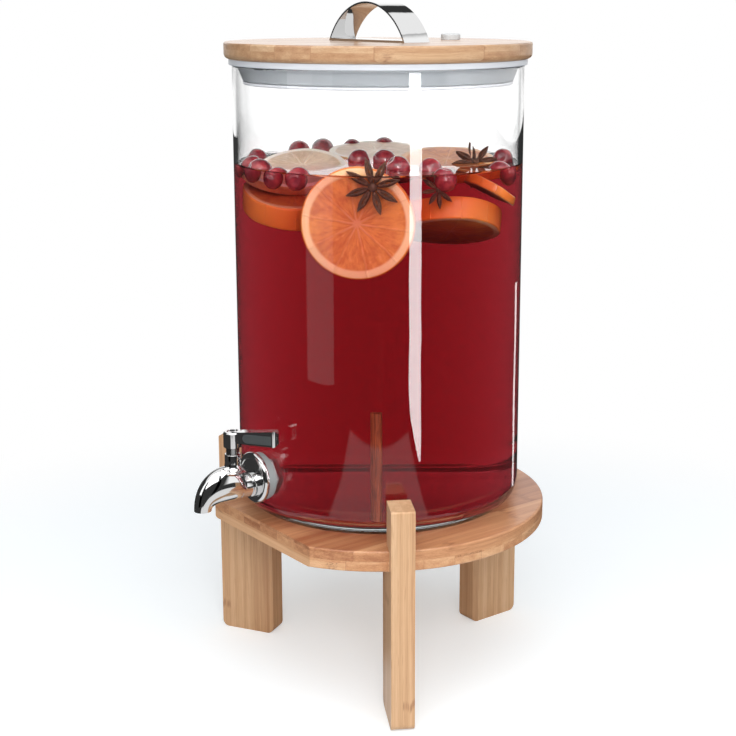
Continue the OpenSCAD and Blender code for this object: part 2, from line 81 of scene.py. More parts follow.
class Paint:                      # a node tree and the short ways to its nodes
    def __init__(self, name, owner=None):
        self.material = owner or bpy.data.materials.new(name)
        self.material.use_nodes = True
        self.tree = self.material.node_tree
        self.tree.nodes.clear()

    def node(self, kind, settings=None, sockets=None, out=0):
        made = self.tree.nodes.new("ShaderNode" + kind)
        for key, value in (settings or {}).items():
            if key == "stops":
                ramp = made.color_ramp.elements
                while len(ramp) < len(value):
                    ramp.new(1.0)
                for stop, (place, shade) in zip(ramp, value):
                    stop.position = place
                    stop.color = shade
            else:
                setattr(made, key, value)
        for key, value in (sockets or {}).items():
            if isinstance(value, Wire):
                self.tree.links.new(value.socket, made.inputs[key])
            else:
                made.inputs[key].default_value = value
        return Wire(self, made.outputs[out])

    def maths(self, operation, *values, clamp=False):
        settings = {"operation": operation, "use_clamp": clamp}
        return self.node("Math", settings, dict(enumerate(values)))

    def length(self, vector):
        return self.node("VectorMath", {"operation": "LENGTH"}, {0: vector}, out=1)

    def mixed(self, share, first, second):
        return self.node("Mix", {"data_type": "RGBA"}, {0: share, 6: first, 7: second}, 2)

    def between(self, value, low, high):          # 0 at low, 1 at high, smooth
        settings = {"interpolation_type": "SMOOTHSTEP"}
        return self.node("MapRange", settings, {0: value, 1: low, 2: high})

    def ramp(self, value, stops):
        return self.node("ValToRGB", {"stops": stops}, {0: value})

    def split(self, vector):
        parts = self.node("SeparateXYZ", None, {0: vector}).socket.node
        return [Wire(self, socket) for socket in parts.outputs]

    def joined(self, x, y, z):
        return self.node("CombineXYZ", None, {0: x, 1: y, 2: z})

    def placed(self, middle=(0, 0, 0), turn=0.0):  # object coordinates from middle, turned round Z
        where = self.node("TexCoord", out=3)
        sockets = {0: where, 1: middle, 2: (0, 0, turn)}
        return self.node("Mapping", {"vector_type": "TEXTURE"}, sockets)

    def grain(self, vector, scale=1.0, detail=2.0, rough=0.5):
        return self.node("TexNoise", None, {"Vector": vector, "Scale": scale, "Detail": detail,
                                            "Roughness": rough})

    def chance(self, vector):                      # one random number for each cell
        return self.node("TexWhiteNoise", None, {0: vector})

    def bump(self, height, depth):
        return self.node("Bump", None, {"Height": height, "Distance": depth, "Strength": 1.0})

    def glow(self, strength, colour=(1.0, 1.0, 1.0, 1.0)):
        return self.node("Emission", None, {0: colour, 1: strength})

    def blend(self, share, first, second):         # first shader at 0, second at 1
        return self.node("MixShader", None, {0: share, 1: first, 2: second})

    def surface(self, **sockets):
        shader = self.node("BsdfPrincipled")
        for key, value in sockets.items():
            name = key.replace("_", " ")
            target = shader.socket.node.inputs[name]
            if isinstance(value, Wire):
                self.tree.links.new(value.socket, target)
            else:
                target.default_value = value
        return shader

    def finish(self, shader, volume=None, out="OutputMaterial"):
        sockets = {"Surface": shader}
        if volume:
            sockets["Volume"] = volume
        made = self.tree.nodes.new("ShaderNode" + out)
        for key, value in sockets.items():
            self.tree.links.new(value.socket, made.inputs[key])
        return self.material


def tint(red, green, blue):       # a colour as it looks on a screen, 0 to 255
    def linear(value):
        value /= 255
        return value / 12.92 if value < 0.04045 else ((value + 0.055) / 1.055) ** 2.4
    return (linear(red), linear(green), linear(blue), 1.0)


def grey(value):
    return (value, value, value, 1.0)


# Camera

cameraPlace = {"distance": 0.98546, "height": 0.465, "azimuth": 53.02, "yaw": -0.55, "pitch": 12.35,
               "lens": 70.82, "shiftX": -0.0330, "shiftY": -0.0703}


def makeCamera():
    azimuth = math.radians(cameraPlace["azimuth"])
    data = bpy.data.cameras.new("camera")
    data.lens = cameraPlace["lens"]
    data.shift_x = cameraPlace["shiftX"]
    data.shift_y = cameraPlace["shiftY"]
    holder = bpy.data.objects.new("camera", data)
    reach = cameraPlace["distance"]
    holder.location = (reach * math.sin(azimuth), axisY - reach * math.cos(azimuth), cameraPlace["height"])
    holder.rotation_euler = (math.radians(90 - cameraPlace["pitch"]), 0,
                             azimuth + math.radians(cameraPlace["yaw"]))
    scene.collection.objects.link(holder)
    scene.camera = holder


makeCamera()
print("camera made")


# Studio: white backdrop, soft light from above, and cards that only show in gloss

# brightness for each kind of ray, and where the lit walls of the room begin and end
studio = {"ambient": 0.31, "inJar": 1.9, "through": 1.35, "backdrop": 1.10, "ceiling": 1.0, "room": 0.04,
          "behindFrom": (0.78, 0.92), "rightTurn": 100, "rightFrom": (0.62, 0.75), "wallFoot": (-0.13, -0.10),
          "wallTop": (0.53, 0.50), "ceilingFrom": (0.70, 0.73), "horizon": 0.03}
floorLook = {"size": 8.0, "tone": (0.765, 0.82, 0.86, 1.0), "glow": (0.35, 0.35, 0.345, 1.0),
             "fade": (0.33, 0.60), "table": 0.80, "tableReach": 0.695, "tableSide": 0.27, "tableEdge": 0.01,
             "tableFoot": (0.0, 0.05)}
# name, distance, height, size, power, seen in gloss
lamps = [("overhead", 0.72, 1.4, 1.6, 17.5, True),
         ("front", 1.3, 0.75, 0.5, 7.2, False)]
lampAim = {"turn": 3.0, "height": 0.2}


def lookAway(azimuth, distance, height):           # a point at that compass angle from the jar's axis
    turn = math.radians(azimuth)
    return Vector((distance * math.cos(turn), axisY + distance * math.sin(turn), height))


def lightPath(paint):              # what kind of ray meets the shader
    light = paint.node("LightPath").socket.node
    rays = {socket.name: Wire(paint, socket) for socket in light.outputs}
    rays["fresh"] = 1 - paint.maths("MINIMUM", rays["Diffuse Depth"], 1.0)   # no matt surface met yet
    rays["bounced"] = paint.maths("MINIMUM", rays["Glossy Depth"], 1.0)      # mirrored at least once
    return rays


def makeWorld():
    world = bpy.data.worlds.new("studio")
    scene.world = world
    paint = Paint("studio", world)
    rays = lightPath(paint)
    heading = paint.node("TexCoord", out=0)
    up = paint.split(heading)[2]
    centre = Vector((0, axisY, 0))

    def towards(turn):                 # how far the ray heads that way, measured from the camera's side
        way = lookAway(cameraPlace["azimuth"] - 90 + turn, 1.0, 0.0) - centre
        return paint.node("VectorMath", {"operation": "DOT_PRODUCT"}, {0: heading, 1: way}, out=1)

    behind = paint.between(towards(180), *studio["behindFrom"])
    right = paint.between(towards(studio["rightTurn"]), *studio["rightFrom"])
    openSide = paint.maths("MAXIMUM", behind, right)
    wallTop = paint.maths("MAXIMUM", paint.between(up, *studio["wallTop"]), right)
    wall = openSide * paint.between(up, *studio["wallFoot"]) * wallTop
    ceiling = paint.between(up, *studio["ceilingFrom"]) * studio["ceiling"]
    lit = paint.maths("MAXIMUM", wall * studio["backdrop"], ceiling)
    mirrored = paint.maths("MAXIMUM", lit, studio["room"])
    above = paint.between(up, -studio["horizon"], studio["horizon"])
    straight = rays["Is Transmission Ray"] * paint.maths("MAXIMUM", 1 - rays["bounced"], above)
    seen = mirrored + straight * (studio["through"] - mirrored)
    soft = studio["ambient"] + rays["Is Transmission Ray"] * (studio["inJar"] - studio["ambient"])
    value = soft + rays["fresh"] * (seen - soft)
    strength = paint.maths("MAXIMUM", rays["Is Camera Ray"], value * (1 - rays["Is Camera Ray"]))
    back = paint.node("Background", None, {0: grey(1.0), 1: strength})
    paint.finish(back, out="OutputWorld")


def stagePiece(name, bm, material):
    mesh = bpy.data.meshes.new(name)
    bm.to_mesh(mesh)
    bm.free()
    mesh.materials.append(material)
    piece = bpy.data.objects.new(name, mesh)
    scene.collection.objects.link(piece)
    return piece


def floorFinish():                     # matt and shaded near the stand, plain white further out
    paint = Paint("floor")
    rays = lightPath(paint)
    seen = rays["Is Camera Ray"]
    out, side, _ = paint.split(paint.placed((0, axisY, 0), math.radians(cameraPlace["azimuth"] - 90)))
    lit = paint.node("BsdfDiffuse", None, {0: floorLook["tone"]})
    near = paint.node("AddShader", None, {0: lit, 1: paint.glow(seen, floorLook["glow"])})
    reach = paint.length(paint.joined(out, side, 0.0))
    matt = paint.blend(paint.between(reach, *floorLook["fade"]) * seen, near, paint.glow(1.0))
    reach, width, edge = floorLook["tableReach"], floorLook["tableSide"], floorLook["tableEdge"]
    ahead = paint.between(out, reach + edge, reach - edge)
    aside = paint.between(paint.maths("ABSOLUTE", side), width + edge, width - edge)
    table = ahead * aside * paint.between(out, *floorLook["tableFoot"]) * (1 - rays["Is Transmission Ray"])
    mirror = paint.glow(studio["room"] + table * floorLook["table"])
    isThrough = rays["Is Transmission Ray"] * (1 - rays["bounced"])
    beyond = paint.blend(isThrough, mirror, paint.glow(studio["through"]))
    mirrored = rays["fresh"] * (1 - seen) * (1 - rays["Is Diffuse Ray"])
    return paint.finish(paint.blend(mirrored, matt, beyond))


def makeFloor():
    bm = bmesh.new()
    bmesh.ops.create_grid(bm, x_segments=2, y_segments=2, size=floorLook["size"] / 2)
    stagePiece("floor", bm, floorFinish())


def makeLamps():
    for name, reach, height, size, power, shows in lamps:
        data = bpy.data.lights.new(name, "AREA")
        data.shape = "SQUARE"
        data.size = size
        data.energy = power
        lamp = bpy.data.objects.new(name, data)
        lamp.location = lookAway(cameraPlace["azimuth"] - 90 + lampAim["turn"], reach, height)
        aim = Vector((0, axisY, lampAim["height"])) - lamp.location
        lamp.rotation_euler = aim.to_track_quat("-Z", "Y").to_euler()
        lamp.visible_camera = False
        lamp.visible_glossy = shows
        scene.collection.objects.link(lamp)


# name, compass angle, distance, half width, bottom, top, strength, only in polished glass, taper at the foot
cards = [("stripCard", -11.0, 0.62, 0.047, 0.0, 1.2, 15.0, True, 0.9),
         ("fillCard", -81.3, 0.90, 0.175, 0.0, 1.2, 0.80, True, 0.0),
         ("rimCard", 95.0, 0.392, 0.017, 0.0, 0.21, 2.4, True, 0.0),
         ("keyCard", -90.0, 0.90, 0.280, 0.36, 1.2, 1.5, False, 0.0)]
cardTaper = {"height": 0.07, "power": 1.5, "steps": 48}


def cardFinish(name, strength, sharpOnly):
    paint = Paint(name)
    if not sharpOnly:
        return paint.finish(paint.glow(strength))
    rays = lightPath(paint)
    outside = 1 - paint.maths("MINIMUM", rays["Transmission Depth"], 1.0)
    return paint.finish(paint.glow(rays["Is Singular Ray"] * strength * outside))


def makeCards():
    upright = Matrix.Rotation(math.radians(90), 4, "X")
    for name, azimuth, distance, half, bottom, top, strength, sharpOnly, taper in cards:
        bm = bmesh.new()
        bmesh.ops.create_grid(bm, x_segments=1, y_segments=cardTaper["steps"], size=1.0)
        tall = (top - bottom) / 2
        for vert in bm.verts:
            if vert.co.x > 0:
                low = max(0.0, 1 - (vert.co.y + 1) * tall / cardTaper["height"])
                vert.co.x -= 2 * taper * low ** cardTaper["power"]
        turn = Matrix.Rotation(math.radians(azimuth - 90), 4, "Z") @ upright
        place = Matrix.Translation(lookAway(azimuth, distance, bottom + tall))
        bmesh.ops.transform(bm, matrix=place @ turn @ Matrix.Diagonal((half, tall, 1, 1)), verts=bm.verts)
        card = stagePiece(name, bm, cardFinish(name, strength, sharpOnly))
        card.visible_camera = False
        card.visible_diffuse = False
        card.visible_transmission = False
        card.visible_shadow = False


makeWorld()
makeFloor()
makeLamps()
makeCards()
print("studio made")


# Bamboo: strips glued side by side, with fibres along them and a joint mark here and there

bamboo = {"strip": 0.0205, "jointGap": 0.23, "fibre": 950, "streak": 170, "stretch": 0.016, "seam": 0.00035,
          "fineShare": 0.75, "broadShare": 0.9, "luckShare": 0.42, "speck": 0.45,
          "jointSoft": (0.0006, 0.0045), "jointTone": (120, 66, 36),
          "legPly": 0.0079, "platePly": 1 / 160, "lidPly": 1 / 180, "lacquerFade": 0.0004}


def bambooWood(paint, across, through, along, tones, plyShade=0.0, shine=0.48, coat=0.12):
    cell = paint.joined(paint.maths("FLOOR", across / bamboo["strip"]), paint.maths("FLOOR", through), 0.0)
    luck = paint.chance(cell)
    fibres = paint.joined(across, through * 0.01 + luck, along * bamboo["stretch"])
    fine = paint.grain(fibres, bamboo["fibre"], 3.0, 0.65)
    broad = paint.grain(fibres, bamboo["streak"], 2.0, 0.5)
    threads = (fine - 0.5) * bamboo["fineShare"] + (broad - 0.5) * bamboo["broadShare"]
    whole = (luck - 0.5) * bamboo["luckShare"] + 0.5 + plyShade
    share = paint.maths("ADD", threads, whole, clamp=True)
    dark, middle, light = tones
    wood = paint.ramp(share, [(0.0, dark), (0.5, middle), (1.0, light)])
    shortFibres = paint.joined(across, through * 0.01 + luck, along * 0.03)
    specks = paint.grain(shortFibres, bamboo["fibre"] * 2.4, 1.0)
    speck = paint.between(specks, 0.60, 0.72) * bamboo["speck"]
    wood = paint.mixed(speck, wood, dark)
    waviness = (paint.grain(fibres, bamboo["streak"] * 2.0, 2.0) - 0.5) * 0.012
    part = paint.maths("FRACT", along / bamboo["jointGap"] + luck * 5.3)
    offset = paint.maths("ABSOLUTE", (part - 0.5) * bamboo["jointGap"] + waviness)
    joint = (1 - paint.between(offset, *bamboo["jointSoft"])) * paint.between(fine, 0.40, 0.62)
    wood = paint.mixed(joint * 0.75, wood, paint.mixed(0.55, dark, tint(*bamboo["jointTone"])))
    edge = paint.maths("ABSOLUTE", paint.maths("FRACT", across / bamboo["strip"]) - 0.5)
    seam = paint.between(edge, 0.5 - bamboo["seam"] / bamboo["strip"], 0.5)
    wood = paint.mixed(seam * 0.4, wood, dark)
    rough = shine + (fine - 0.5) * 0.25
    height = fine * 0.6 - speck * 0.8 - seam * 0.7
    return paint.surface(Base_Color=wood, Roughness=rough, Normal=paint.bump(height, 0.00012),
                         Coat_Weight=coat, Coat_Roughness=0.22)


legTones = (tint(178, 126, 86), tint(212, 168, 126), tint(234, 198, 160))
plateTones = (tint(160, 98, 62), tint(204, 146, 102), tint(228, 180, 136))
lidTones = (tint(158, 108, 73), tint(192, 149, 111), tint(214, 179, 142))


def legFinish(name, heading, shift):
    paint = Paint("bamboo_" + name)
    out, side, up = paint.split(paint.placed((0, axisY, 0), math.radians(heading)))
    return paint.finish(bambooWood(paint, out + shift, side / bamboo["legPly"], up, legTones))


def plateFinish():
    paint = Paint("bamboo_plate")
    x, y, z = paint.split(paint.placed((0, axisY, 0)))
    middle = (plateLow.z + plateHigh.z) / 2
    upper = paint.maths("GREATER_THAN", z, middle)       # the two plies lie crosswise
    across = x * upper + (y + 0.004) * (1 - upper)
    along = y * upper + x * (1 - upper)
    ply = upper * 3 + z / bamboo["platePly"]
    lacquer = 0.1 + 0.5 * paint.between(z, plateHigh.z - 0.0012, plateHigh.z - bamboo["lacquerFade"])
    plyShade = (0.5 - upper) * 0.30
    return paint.finish(bambooWood(paint, across, ply, along, plateTones, plyShade, 0.45, lacquer))


def lidFinish():
    paint = Paint("bamboo_lid")
    x, y, z = paint.split(paint.placed((0, axisY, 0), math.radians(-18)))
    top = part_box("lid_disc")[1].z
    lacquer = 0.1 + 0.8 * paint.between(z, top - 0.0014, top - bamboo["lacquerFade"])
    ply = z / bamboo["lidPly"]
    return paint.finish(bambooWood(paint, x + 0.006, ply, y, lidTones, 0.06, 0.42, lacquer))


# Metal, rubber and plastic

def steelFinish(name="polished_steel", rough=0.07, shade=0.78):
    paint = Paint(name)
    where = paint.placed()
    wave = paint.grain(where, 90.0, 2.0)
    smear = paint.grain(where, 420.0, 3.0, 0.6)
    return paint.finish(paint.surface(Base_Color=grey(shade), Metallic=1.0,
                                      Roughness=rough + (smear - 0.5) * 0.05,
                                      Normal=paint.bump(wave, 0.00006)))


def brighter(shade, factor):
    return [min(1, part * factor) for part in shade[:3]] + [1]


def rubberFinish(name, shade, rough, clear=0.0):
    paint = Paint(name)
    fine = paint.grain(paint.placed(), 1400.0, 2.0)
    cloud = paint.grain(paint.placed(), 60.0, 2.0)
    colour = paint.mixed((cloud - 0.5) * 0.5 + 0.5, brighter(shade, 0.93), brighter(shade, 1.07))
    return paint.finish(paint.surface(Base_Color=colour, Roughness=rough + (fine - 0.5) * 0.12,
                                      Normal=paint.bump(fine, 0.00003), Subsurface_Weight=clear,
                                      Subsurface_Radius=(0.004, 0.004, 0.004), Subsurface_Scale=1.0))


glass = {"bend": 1.5, "wave": 0.0006, "tone": tint(205, 214, 216), "density": 9.0, "lampShare": 0.96}


def lampPasses(paint, shader, share):              # lets the lamp's light through clear things
    clear = paint.node("BsdfTransparent", None, {0: grey(share)})
    return paint.blend(lightPath(paint)["Is Shadow Ray"], shader, clear)


def clearFinish(name, clear):                      # for the glass and the drink
    paint = Paint(name)
    skin = paint.surface(Base_Color=grey(1.0), Roughness=0.0, IOR=clear["bend"], Transmission_Weight=1.0)
    if "wave" in clear:
        wave = paint.bump(paint.grain(paint.placed(), 14.0, 1.0), clear["wave"])
        paint.tree.links.new(wave.socket, skin.socket.node.inputs["Normal"])
    tone = paint.node("VolumeAbsorption", None, {0: clear["tone"], 1: clear["density"]})
    return paint.finish(lampPasses(paint, skin, clear["lampShare"]), tone)


steel = steelFinish()
nodeFinishes = {
    "stand_plate": plateFinish(),
    "leg_front_left": legFinish("leg_left", -150, 0.004),
    "leg_front_right": legFinish("leg_right", -30, 0.009),
    "leg_rear": legFinish("leg_rear", 90, 0.014),
    "glass_jar": clearFinish("clear_glass", glass),
    "outer_washer": rubberFinish("washer_silicone", tint(150, 154, 154), 0.42, 0.15),
    "inner_washer": rubberFinish("inner_silicone", tint(200, 203, 203), 0.42, 0.15),
    "tap_body": steel,
    "backing_nut": steelFinish("turned_steel", 0.16, 0.72),
    "gland_nut": steelFinish("dark_steel", 0.16, 0.42),
    "valve_stem": steelFinish("stem_steel", 0.2, 0.7),
    "stem_seals": rubberFinish("black_rubber", tint(28, 28, 28), 0.5),
    "lever": steel,
    "lever_inlay": rubberFinish("grip", tint(66, 70, 70), 0.38),
    "lever_screw": steelFinish("screw_steel", 0.12, 0.75),
    "lid_disc": lidFinish(),
    "lid_core": rubberFinish("white_plastic", tint(224, 226, 231), 0.35, 0.05),
    # the seal's grey tone is painted shade: a white silicone ring, darkened for the shade under the bamboo
    # disc
    "lid_seal": rubberFinish("seal_silicone", tint(168, 172, 176), 0.33, 0.1),
    "core_screws": steelFinish("small_steel", 0.2, 0.6),
    "handle_strap": steelFinish("mirror_steel", 0.035, 0.80),
    "handle_screws": steelFinish("handle_screw_steel", 0.15, 0.6),
    "vent_plug": rubberFinish("vent_silicone", tint(206, 210, 212), 0.45, 0.15),
}
for nodeName, finish in nodeFinishes.items():
    mesh = nodes[nodeName].data
    mesh.materials.clear()
    mesh.materials.append(finish)
print("nodes finished")


# Shapes: revolved outlines, arcs and placements shared by the pieces below

def arc(middle, radius, start, end, count=6):      # points of an arc, angles in degrees
    turns = [math.radians(start + (end - start) * step / count) for step in range(count + 1)]
    return [(middle[0] + radius * math.cos(turn), middle[1] + radius * math.sin(turn)) for turn in turns]


def placing(centre, normal=(0, 0, 1), spin=0.0):   # centre is measured from the jar's axis
    facing = Vector(normal).to_track_quat("Z", "Y").to_matrix().to_4x4()
    return Matrix.Translation(Vector(centre) + Vector((0, axisY, 0))) @ facing @ Matrix.Rotation(spin, 4, "Z")


def revolve(bm, outline, place=None, steps=64):    # outline points are (radius, height)
    before = set(bm.verts)
    chain = [bm.verts.new((radius, 0, height)) for radius, height in outline]
    edges = [bm.edges.new(pair) for pair in zip(chain, chain[1:])]
    bmesh.ops.spin(bm, geom=chain + edges, cent=(0, 0, 0), axis=(0, 0, 1), angle=2 * math.pi,
                   steps=steps, use_merge=True)
    made = [vert for vert in bm.verts if vert not in before]
    bmesh.ops.remove_doubles(bm, verts=made, dist=1e-7)
    if place:
        made = [vert for vert in bm.verts if vert not in before]
        bmesh.ops.transform(bm, matrix=place, verts=made)


def makePiece(name, bm, materials, sharp=None):    # all of them are carried by the jar
    bmesh.ops.recalc_face_normals(bm, faces=bm.faces)
    mesh = bpy.data.meshes.new(name)
    bm.to_mesh(mesh)
    bm.free()
    mesh.shade_smooth()
    if sharp:
        mesh.set_sharp_from_angle(angle=math.radians(sharp))
    for material in materials:
        mesh.materials.append(material)
    piece = bpy.data.objects.new(name, mesh)
    scene.collection.objects.link(piece)
    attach(piece, "jar")
    return piece


# The tap's casting, polished so that its curves run into each other

tap = {"axis": 0.1531, "flangeBack": 0.10275, "flange": 0.004, "flangeRadius": 0.01725, "ring": 0.0042,
       "ringRound": 0.0022, "dish": 0.0006, "soft": 0.0006, "drop": 0.004, "barrel": 0.00775,
       "barrelEnd": 0.0035, "collar": 0.0086, "collarLength": 0.0028, "fillet": 0.0004, "stem": 0.1205,
       "tower": 0.0054, "towerTop": 0.0197, "towerFoot": 0.0055, "socket": 0.0045, "socketDeep": 0.002,
       "flare": 0.005, "outlet": 0.0237, "spout": 0.0057, "root": 0.007, "tuck": 0.0007, "wall": 0.0015,
       "mouthRound": 0.0003, "fall": 0.0148, "bore": 0.009, "shank": 0.0078, "shankStart": 0.0825,
       "shankBevel": 0.001, "overlap": 0.001}


def cubic(points, share):
    rest = 1 - share
    weights = (rest ** 3, 3 * share * rest ** 2, 3 * share ** 2 * rest, share ** 3)
    return [sum(weight * point[axis] for weight, point in zip(weights, points)) for axis in (0, 1)]


def spoutRings(steps=44):
    high = tap["barrel"] - tap["drop"] - tap["tuck"]
    low = -tap["barrel"] - tap["drop"] + 0.00025
    root = tap["stem"] - tap["root"]
    front = tap["stem"] + tap["outlet"] + tap["spout"]
    back = front - 2 * tap["spout"]
    # control points: the spout's upper and lower edge, and its half width
    upper = [(root, high), (tap["stem"] - 0.0015, high + 0.0162), (front, 0.0136), (front, -tap["fall"])]
    lower = [(root, low), (tap["stem"] + 0.0055, low - 0.001), (back, 0.004 - tap["fall"]),
             (back, -tap["fall"])]
    wide = [(tap["barrel"] - 0.00045, 0), (tap["barrel"] + 0.0028, 0), (tap["spout"] + 0.0008, 0),
            (tap["spout"], 0)]
    for step in range(steps + 1):
        share = step / steps
        yield cubic(upper, share), cubic(lower, share), cubic(wide, share)[0]


def addSpout(bm, sides=64):
    turns = [2 * math.pi * side / sides for side in range(sides)]
    rings = []
    for top, bottom, half in spoutRings():
        middle = [(a + b) / 2 for a, b in zip(top, bottom)]
        reach = [(a - b) / 2 for a, b in zip(top, bottom)]
        rings.append([bm.verts.new((half * math.sin(turn), -middle[0] - reach[0] * math.cos(turn),
                                    middle[1] + reach[1] * math.cos(turn))) for turn in turns])
    mouth = Vector((0, -tap["stem"] - tap["outlet"], -tap["fall"]))
    bore = tap["spout"] - tap["wall"]
    lip = tap["mouthRound"]
    for radius, rise in ((tap["spout"] - 0.0004, 0), (bore + lip, 0), (bore, lip), (bore, tap["bore"])):
        rings.append([bm.verts.new(mouth + Vector((radius * math.sin(turn), -radius * math.cos(turn), rise)))
                      for turn in turns])
    for first, second in zip(rings, rings[1:]):
        for side in range(sides):
            after = (side + 1) % sides
            bm.faces.new((first[side], first[after], second[after], second[side]))
    bm.faces.new(rings[0])
    bm.faces.new(rings[-1])


def makeTap():
    bm = bmesh.new()
    alongTap = Matrix.Rotation(math.radians(90), 4, "X")       # outline height runs out of the jar
    lowered = Matrix.Translation((0, 0, -tap["drop"])) @ alongTap
    back = tap["flangeBack"]
    face = back + tap["flange"]
    hidden = back + tap["overlap"]                 # how far shank and collar reach into the flange
    edge = tap["flangeRadius"]
    turned = tap["ringRound"]
    soft = tap["soft"]
    inner = edge - tap["ring"]
    dish = face - tap["dish"]
    flange = [(0, back), (edge - soft, back)] + arc((edge - soft, back + soft), soft, -90, 0, 4)
    flange += arc((edge - turned, face - turned), turned, 0, 90, 10)
    flange += arc((inner + soft, face - soft), soft, 90, 180, 4) + [(inner - 0.0002, dish), (0, dish)]
    revolve(bm, flange, alongTap, 96)
    shank, start, bevel = tap["shank"], tap["shankStart"], tap["shankBevel"]
    pipe = [(0, start), (shank - bevel, start), (shank, start + bevel), (shank, hidden), (0, hidden)]
    revolve(bm, pipe, alongTap)
    fillet = tap["fillet"]
    collarEnd = face + tap["collarLength"]
    barrelEnd = tap["stem"] - tap["barrelEnd"]
    collar = [(0, hidden), (tap["collar"], hidden)]
    collar += arc((tap["collar"] - soft, collarEnd - soft), soft, 0, 90, 4)
    collar += arc((tap["barrel"] + fillet, collarEnd + fillet), fillet, 270, 180, 3)
    revolve(bm, collar + [(tap["barrel"], barrelEnd), (0, barrelEnd)], lowered)
    flare = tap["tower"] + tap["flare"]
    foot = tap["barrel"] - tap["drop"] - tap["tuck"] + tap["towerFoot"]
    top = tap["towerTop"]
    tower = [(0, foot), (flare, foot)] + arc((flare, foot + tap["flare"]), tap["flare"], 270, 180, 14)
    tower += arc((tap["tower"] - fillet, top - fillet), fillet, 0, 90, 4)
    floor = top - tap["socketDeep"]
    tower += [(tap["socket"], top), (tap["socket"], floor), (0, floor)]
    revolve(bm, tower, Matrix.Translation((0, -tap["stem"], 0)))
    addSpout(bm)
    bmesh.ops.translate(bm, vec=(0, axisY, tap["axis"]), verts=bm.verts)
    piece = makePiece("tap_casting", bm, [steel], sharp=40)
    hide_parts("tap_body")


makeTap()
print("tap made")


# The drink and what floats in it

drink = {"level": 0.3570, "sink": 0.0002, "wall": 0.003, "base": 0.008, "heel": 0.012, "meniscus": 0.0016,
         "hold": 0.0008, "sides": 192, "bend": 1.34, "tone": (0.70, 0.0, 0.10, 1), "density": 31.0,
         "lampShare": 0.97}


def makeDrink():
    edge = jarRadius - drink["wall"] + drink["sink"]        # just inside the glass, so no air shows
    foot = jarLow.z + drink["base"] - drink["sink"]
    level = drink["level"]
    rise = drink["meniscus"]
    heel = drink["heel"]
    hold = drink["hold"]      # rings close to both ends keep the long wall's shading upright
    outline = [(0, foot)] + arc((edge - heel, foot + heel), heel, -90, 0, 10)
    outline += [(edge, foot + heel + hold), (edge, level + rise - hold), (edge, level + rise)]
    outline += [(edge - rise, level + rise * 0.25), (edge - 2.5 * rise, level), (edge - 4 * rise, level)]
    bm = bmesh.new()
    revolve(bm, outline + [(0, level)], placing((0, 0, 0)), drink["sides"])
    makePiece("punch", bm, [clearFinish("red_punch", drink)], sharp=40)


# Orange slices: segments, their skins, a pale ring and the peel, drawn in the slice's own UV

citrus = {"segments": 10, "steps": 72, "edge": 0.0012, "warp": 0.0011, "uneven": 0.018}
fresh = {"flesh": tint(216, 134, 60), "deep": tint(188, 98, 38), "skin": tint(222, 150, 104),
         "pith": tint(230, 180, 136), "peel": tint(224, 118, 26)}
pale = {"flesh": tint(224, 194, 166), "deep": tint(200, 166, 138), "skin": tint(240, 224, 206),
        "pith": tint(242, 228, 214), "peel": tint(230, 170, 100)}


def citrusFinish(name, tones):
    paint = Paint(name)
    local = paint.node("UVMap", {"uv_map": "slice"})
    x, y, _ = paint.split(local)
    radius = paint.length(local)
    turn = paint.maths("ARCTAN2", y, x) / (2 * math.pi)
    wobble = (paint.grain(local, 3.0, 2.0) - 0.5) * 0.16
    part = paint.maths("FRACT", turn * citrus["segments"] + wobble)
    toSkin = (0.5 - paint.maths("ABSOLUTE", part - 0.5)) * (2 * math.pi / citrus["segments"]) * radius
    skin = 1 - paint.between(toSkin, 0.008, 0.026)
    core = 1 - paint.between(radius + wobble * 0.5, 0.05, 0.11)
    ring = paint.between(radius + wobble * 0.12, 0.82, 0.875)
    peel = paint.between(radius, 0.965, 0.98)
    sacs = paint.grain(paint.joined(turn * 46, radius * 5, 0.0), 1.0, 3.0, 0.6)
    cloud = paint.grain(local, 2.2, 2.0)
    flesh = paint.mixed(paint.between(sacs * 0.6 + cloud * 0.4, 0.36, 0.62), tones["deep"], tones["flesh"])
    flesh = paint.mixed(paint.between(sacs, 0.60, 0.75) * 0.45, flesh, tones["skin"])
    inner = 0.2 + 0.45 * paint.between(radius, 0.45, 0.12)
    colour = paint.mixed(paint.maths("MAXIMUM", skin * inner, core * 0.8), flesh, tones["skin"])
    colour = paint.mixed(ring, colour, tones["pith"])
    dots = paint.grain(paint.placed(), 900.0, 1.0)
    colour = paint.mixed(peel, colour, paint.mixed(dots * 0.6, tones["peel"], tones["deep"]))
    height = sacs * 0.5 + skin * 0.7 + ring * 0.8
    return paint.finish(paint.surface(Base_Color=colour, Roughness=0.3 + sacs * 0.25, Subsurface_Weight=0.35,
                                      Subsurface_Radius=(0.006, 0.003, 0.0015), Subsurface_Scale=1.0,
                                      Coat_Weight=0.3, Normal=paint.bump(height, 0.0004)))


# name, middle from the jar's axis, direction of the upper face, radius, thickness, kind
slices = [("slice_front", (0.0582, -0.0599, 0.3275), (0.716, -0.698, 0.02), 0.0355, 0.0050, "fresh"),
          ("slice_left", (-0.0042, -0.0556, 0.3340), (0.153, -0.115, 0.98), 0.0350, 0.0150, "fresh"),
          ("slice_right", (0.0596, 0.0068, 0.3245), (-0.30, 0.225, 0.927), 0.0330, 0.0145, "fresh"),
          ("slice_edge", (0.0699, 0.0321, 0.3430), (0.05, 0.455, 0.889), 0.0210, 0.0060, "fresh"),
          ("slice_beige", (-0.0200, -0.0480, 0.3530), (0.25, -0.19, 0.95), 0.0300, 0.0060, "pale"),
          ("slice_white", (-0.0400, 0.0280, 0.3570), (0.08, -0.06, 0.99), 0.0345, 0.0060, "pale"),
          ("slice_back", (0.0250, 0.0400, 0.3560), (0.12, -0.10, 0.98), 0.0330, 0.0060, "fresh")]


